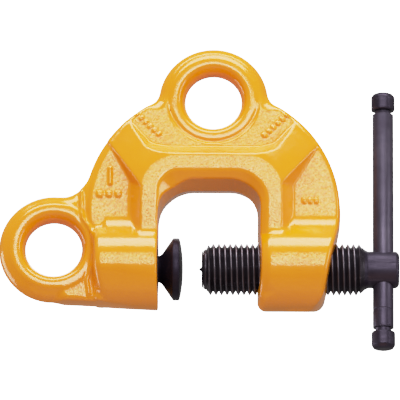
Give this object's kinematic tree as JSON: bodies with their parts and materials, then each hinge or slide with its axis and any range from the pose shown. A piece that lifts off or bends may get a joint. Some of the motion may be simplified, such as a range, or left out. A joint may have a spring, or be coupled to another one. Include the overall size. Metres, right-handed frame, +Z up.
{
  "type": "screw beam clamp",
  "caption": "Forged C-shaped lifting clamp with two eyes, a swivelling cam pad and a long screw turned by a sliding T-handle.",
  "frame": {"origin": "centre of the top eye's bore, on the clamp's plane of symmetry", "axes": "+X along the screw towards its handle, +Z up to the top eye, +Y to the back of the clamp along the eye bores"},
  "size_m": [0.2143, 0.044, 0.1658],
  "materials": {
    "yellow_enamel": "glossy chrome-yellow enamel over a forged skin",
    "black_oxide": "oiled black oxide on machined alloy steel",
    "handle_steel": "dark grey-violet oxide on drawn bar",
    "spring_steel": "oiled hardened steel",
    "rubber": "matt black rubber"
  },
  "bodies": {
    "frame": {"clamp_body": "yellow_enamel", "cam_seat": "spring_steel", "cam_retainer": "spring_steel", "cam_snap_ring": "spring_steel", "cam_centring_ring": "rubber"},
    "tip": {"screw_tip": "black_oxide", "tip_retaining_ring": "spring_steel"},
    "screw": {"main_screw": "black_oxide"},
    "bar": {"tommy_bar": "handle_steel", "bar_cap_upper": "handle_steel", "bar_cap_lower": "handle_steel"},
    "cam": {"cam_pad": "black_oxide"}
  },
  "joints": [
    {"name": "screw_travel", "type": "slide", "parent": "frame", "child": "tip", "axis": [1, 0, 0], "range_m": [-0.0076, 0.0321]},
    {"name": "screw_turn", "type": "hinge", "parent": "tip", "child": "screw", "pos_m": [0, 0, -0.0932], "axis": [1, 0, 0], "range_deg": [-900, 3840]},
    {"name": "bar_slide", "type": "slide", "parent": "screw", "child": "bar", "axis": [0, 0, 1], "range_m": [-0.079, 0.0246]},
    {"name": "cam_tilt", "type": "hinge", "parent": "frame", "child": "cam", "pos_m": [-0.045, 0, -0.0932], "axis": [0, 1, 0], "range_deg": [-6, 6], "stiffness_Nm_per_rad": 3}
  ],
  "couplings": [
    {"joint": "screw_travel", "follows": "screw_turn", "m_per_rad": 0.00047746}
  ]
}
